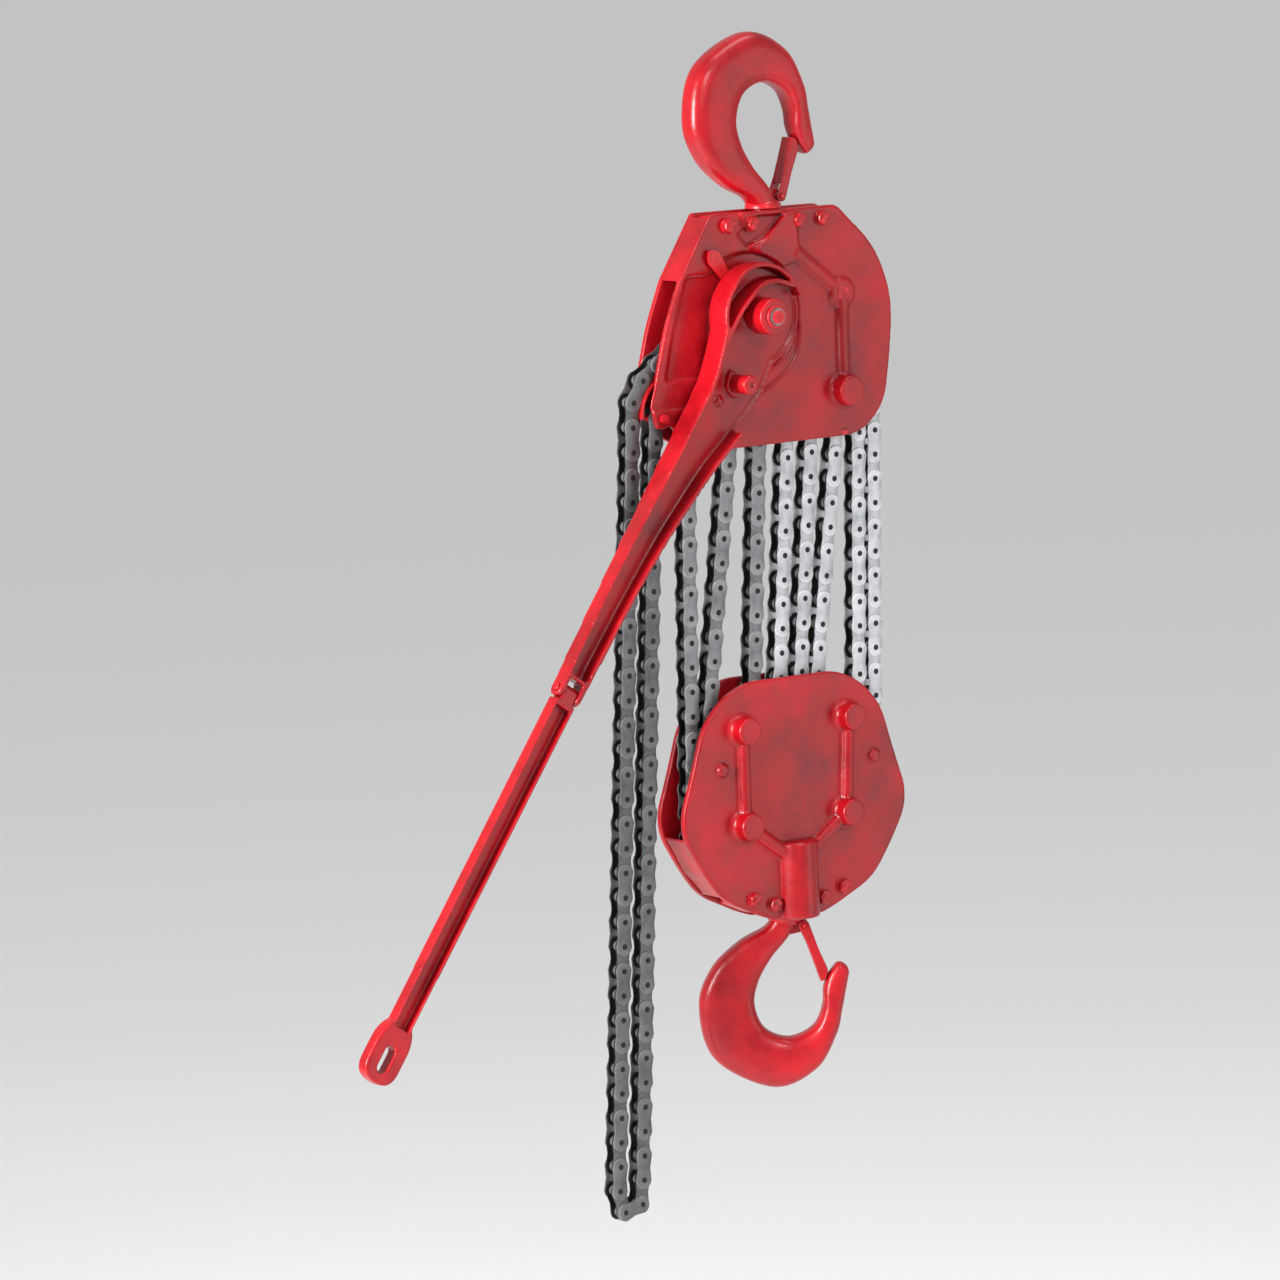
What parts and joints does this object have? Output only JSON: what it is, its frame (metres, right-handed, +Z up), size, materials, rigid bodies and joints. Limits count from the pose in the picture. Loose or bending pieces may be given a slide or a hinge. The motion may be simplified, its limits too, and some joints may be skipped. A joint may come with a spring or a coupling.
{
  "type": "lever chain hoist",
  "caption": "Heavy ratchet lever hoist: two red cast blocks with latched swivel hooks, joined by many falls of roller chain, with a long lever and a slack loop.",
  "frame": {"origin": "the saddle of the top hook's bowl, where the support bears, on the hoist's centre plane", "axes": "+Z up along the line of pull, -Y towards the lever side (front), +X to the right of the front, where both hooks open"},
  "size_m": [0.7047, 0.131, 1.216],
  "materials": {
    "red_paint": "gloss enamel",
    "chain_steel": "plain steel",
    "slack_chain_steel": "oiled steel",
    "oiled_steel": "oiled steel"
  },
  "bodies": {
    "top_hook": {"upper_hook": "red_paint", "upper_hook_nut": "oiled_steel", "upper_latch_pin": "oiled_steel", "upper_latch_spring": "oiled_steel"},
    "upper_latch": {"upper_latch": "red_paint"},
    "upper_block": {"upper_front_frame": "red_paint", "upper_back_frame": "red_paint", "upper_yoke": "red_paint", "upper_yoke_bolt_1": "red_paint", "upper_yoke_bolt_2": "red_paint", "upper_yoke_bolt_3": "red_paint", "upper_yoke_bolt_4": "red_paint", "upper_large_sheave_pin": "oiled_steel", "upper_right_sheave_pin": "oiled_steel", "upper_left_sheave_pin": "oiled_steel", "dead_end_pin": "oiled_steel", "slack_anchor_pin": "red_paint", "holding_pawl_pin": "oiled_steel", "chain_guide": "red_paint", "lead_chain": "chain_steel", "upper_left_chain": "chain_steel", "upper_large_chain": "chain_steel", "upper_right_chain": "chain_steel"},
    "load_shaft": {"load_sprocket": "oiled_steel", "ratchet_wheel": "oiled_steel", "shaft_nut": "oiled_steel"},
    "holding_pawl": {"holding_pawl": "oiled_steel"},
    "upper_left_sheave": {"upper_left_sheave": "oiled_steel"},
    "upper_large_sheave": {"upper_large_sheave": "oiled_steel"},
    "upper_right_sheave": {"upper_right_sheave": "oiled_steel"},
    "lever": {"lever_head": "red_paint", "lever_fold_pin": "oiled_steel"},
    "lever_grip": {"lever_grip": "red_paint"},
    "pawl_knob": {"pawl_knob": "red_paint"},
    "driving_pawl": {"driving_pawl": "oiled_steel"},
    "lower_block": {"lower_front_frame": "red_paint", "lower_back_frame": "red_paint", "lower_yoke": "red_paint", "lower_yoke_bolt_1": "red_paint", "lower_yoke_bolt_2": "red_paint", "lower_yoke_bolt_3": "red_paint", "lower_yoke_bolt_4": "red_paint", "lower_left_small_sheave_pin": "oiled_steel", "lower_left_large_sheave_pin": "oiled_steel", "lower_right_small_sheave_pin": "oiled_steel", "lower_right_large_sheave_pin": "oiled_steel", "lower_left_small_chain": "chain_steel", "lower_left_large_chain": "chain_steel", "lower_right_large_chain": "chain_steel", "lower_right_small_chain": "chain_steel"},
    "lower_left_small_sheave": {"lower_left_small_sheave": "oiled_steel"},
    "lower_left_large_sheave": {"lower_left_large_sheave": "oiled_steel"},
    "lower_right_large_sheave": {"lower_right_large_sheave": "oiled_steel"},
    "lower_right_small_sheave": {"lower_right_small_sheave": "oiled_steel"},
    "lower_hook": {"lower_hook": "red_paint", "lower_hook_nut": "oiled_steel", "lower_latch_pin": "oiled_steel", "lower_latch_spring": "oiled_steel"},
    "lower_latch": {"lower_latch": "red_paint"},
    "slack_loop": {"slack_chain": "slack_chain_steel"}
  },
  "joints": [
    {"name": "upper_hook_swivel", "type": "hinge", "parent": "top_hook", "child": "upper_block", "pos_m": [0, 0, -0.14], "axis": [0, 0, 1], "continuous": true},
    {"name": "upper_latch_open", "type": "hinge", "parent": "top_hook", "child": "upper_latch", "pos_m": [0.018, 0, -0.118], "axis": [0, -1, 0], "range_deg": [0, 40], "stiffness_Nm_per_rad": 0.3, "springref_deg": -28.65},
    {"name": "block_lift", "type": "slide", "parent": "upper_block", "child": "lower_block", "axis": [0, 0, 1], "range_m": [-0.0508, 0.0508], "deforming": ["lower_left_small_chain", "lower_left_large_chain", "lower_right_large_chain", "lower_right_small_chain"]},
    {"name": "lower_hook_swivel", "type": "hinge", "parent": "lower_block", "child": "lower_hook", "pos_m": [0, 0, -0.86], "axis": [0, 0, 1], "continuous": true},
    {"name": "lower_latch_open", "type": "hinge", "parent": "lower_hook", "child": "lower_latch", "pos_m": [0.01559, -0.009, -0.88], "axis": [0.5, 0.866, 0], "range_deg": [0, 40], "stiffness_Nm_per_rad": 0.3, "springref_deg": -28.65},
    {"name": "lever_swing", "type": "hinge", "parent": "upper_block", "child": "lever", "pos_m": [-0.037, 0, -0.236], "axis": [0, 1, 0], "range_deg": [-15, 85]},
    {"name": "lever_fold", "type": "hinge", "parent": "lever", "child": "lever_grip", "pos_m": [-0.29167, -0.034, -0.5997], "axis": [-0.8192, 0, 0.5736], "range_deg": [0, 90]},
    {"name": "knob_pull", "type": "slide", "parent": "lever", "child": "pawl_knob", "axis": [0, -1, 0], "range_m": [0, 0.006], "stiffness_N_per_m": 400, "springref_m": -0.004},
    {"name": "driving_pawl_click", "type": "hinge", "parent": "lever", "child": "driving_pawl", "pos_m": [-0.0674, 0, -0.30383], "axis": [0, -1, 0], "range_deg": [0, 18], "stiffness_Nm_per_rad": 0.3, "springref_deg": -28.65},
    {"name": "holding_pawl_click", "type": "hinge", "parent": "upper_block", "child": "holding_pawl", "pos_m": [-0.082, 0, -0.173], "axis": [0, 1, 0], "range_deg": [0, 18], "stiffness_Nm_per_rad": 0.3, "springref_deg": -28.65},
    {"name": "load_sprocket_spin", "type": "hinge", "parent": "upper_block", "child": "load_shaft", "pos_m": [-0.037, 0, -0.236], "axis": [0, 1, 0], "range_deg": [-962, 962]},
    {"name": "upper_left_sheave_spin", "type": "hinge", "parent": "upper_block", "child": "upper_left_sheave", "pos_m": [-0.08, 0, -0.323], "axis": [0, 1, 0], "range_deg": [-619, 619]},
    {"name": "upper_large_sheave_spin", "type": "hinge", "parent": "upper_block", "child": "upper_large_sheave", "pos_m": [0.082, 0, -0.222], "axis": [0, 1, 0], "range_deg": [-223, 223]},
    {"name": "upper_right_sheave_spin", "type": "hinge", "parent": "upper_block", "child": "upper_right_sheave", "pos_m": [0.082, 0, -0.323], "axis": [0, 1, 0], "range_deg": [-207, 207]},
    {"name": "lower_left_small_spin", "type": "hinge", "parent": "lower_block", "child": "lower_left_small_sheave", "pos_m": [-0.067, 0, -0.664], "axis": [0, 1, 0], "range_deg": [-722, 722]},
    {"name": "lower_left_large_spin", "type": "hinge", "parent": "lower_block", "child": "lower_left_large_sheave", "pos_m": [-0.067, 0, -0.764], "axis": [0, 1, 0], "range_deg": [-278, 278]},
    {"name": "lower_right_large_spin", "type": "hinge", "parent": "lower_block", "child": "lower_right_large_sheave", "pos_m": [0.064, 0, -0.764], "axis": [0, 1, 0], "range_deg": [-168, 168]},
    {"name": "lower_right_small_spin", "type": "hinge", "parent": "lower_block", "child": "lower_right_small_sheave", "pos_m": [0.07, 0, -0.664], "axis": [0, 1, 0], "range_deg": [-104, 104]},
    {"name": "slack_loop_drop", "type": "slide", "parent": "upper_block", "child": "slack_loop", "axis": [0, 0, 1], "range_m": [-0.2032, 0.2032], "deforming": ["slack_chain"]}
  ],
  "couplings": [
    {"joint": "load_sprocket_spin", "follows": "block_lift", "rad_per_m": -329.83},
    {"joint": "upper_left_sheave_spin", "follows": "block_lift", "rad_per_m": -212.03},
    {"joint": "upper_large_sheave_spin", "follows": "block_lift", "rad_per_m": 76.114},
    {"joint": "upper_right_sheave_spin", "follows": "block_lift", "rad_per_m": 70.677},
    {"joint": "lower_left_small_spin", "follows": "block_lift", "rad_per_m": -247.37},
    {"joint": "lower_left_large_spin", "follows": "block_lift", "rad_per_m": 95.142},
    {"joint": "lower_right_large_spin", "follows": "block_lift", "rad_per_m": -57.085},
    {"joint": "lower_right_small_spin", "follows": "block_lift", "rad_per_m": -35.339},
    {"joint": "slack_loop_drop", "follows": "block_lift", "ratio": -4}
  ]
}
